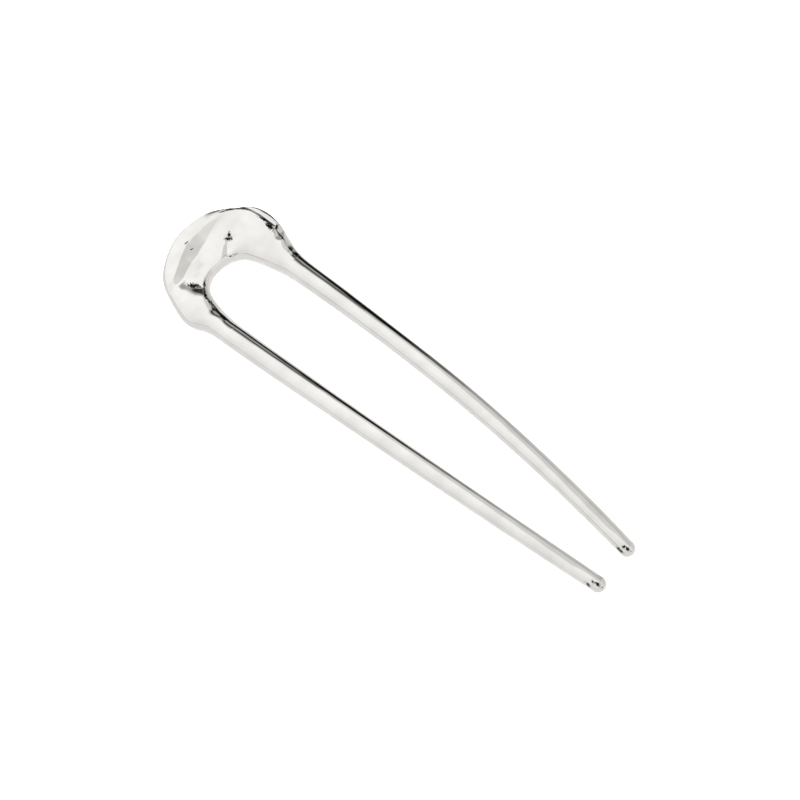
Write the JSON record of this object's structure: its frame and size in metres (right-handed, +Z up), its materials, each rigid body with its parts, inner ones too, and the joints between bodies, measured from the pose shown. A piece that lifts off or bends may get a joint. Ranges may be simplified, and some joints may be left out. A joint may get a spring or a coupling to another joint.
{
  "type": "decorative hair pin",
  "caption": "U-shaped polished metal hair pin with a broad, softly rippled cast head, slim arched spring prongs and small ball ends.",
  "frame": {"origin": "on the surface the pin lies on, under the middle of its length and width", "axes": "+X along the pin from the head to the ball ends, +Y across to the left prong as seen along +X, +Z up from the surface, with the pin lying on its back and arching up"},
  "size_m": [0.12, 0.0303, 0.0086],
  "materials": {
    "silver_plate": "bright silver plating over cast zinc alloy, mirror polished by hand, with faint tumbling scratches"
  },
  "bodies": {
    "head": {"head": "silver_plate"},
    "left_prong": {"left_prong": "silver_plate", "left_tip": "silver_plate"},
    "right_prong": {"right_prong": "silver_plate", "right_tip": "silver_plate"}
  },
  "joints": [
    {"name": "left_flex", "type": "hinge", "parent": "head", "child": "left_prong", "pos_m": [-0.0385, 0.0094, 0.0049], "axis": [0, 0, 1], "range_deg": [-1.2, 1.5], "stiffness_Nm_per_rad": 65},
    {"name": "right_flex", "type": "hinge", "parent": "head", "child": "right_prong", "pos_m": [-0.0385, -0.0112, 0.0049], "axis": [0, 0, -1], "range_deg": [-1.2, 1.5], "stiffness_Nm_per_rad": 65}
  ]
}
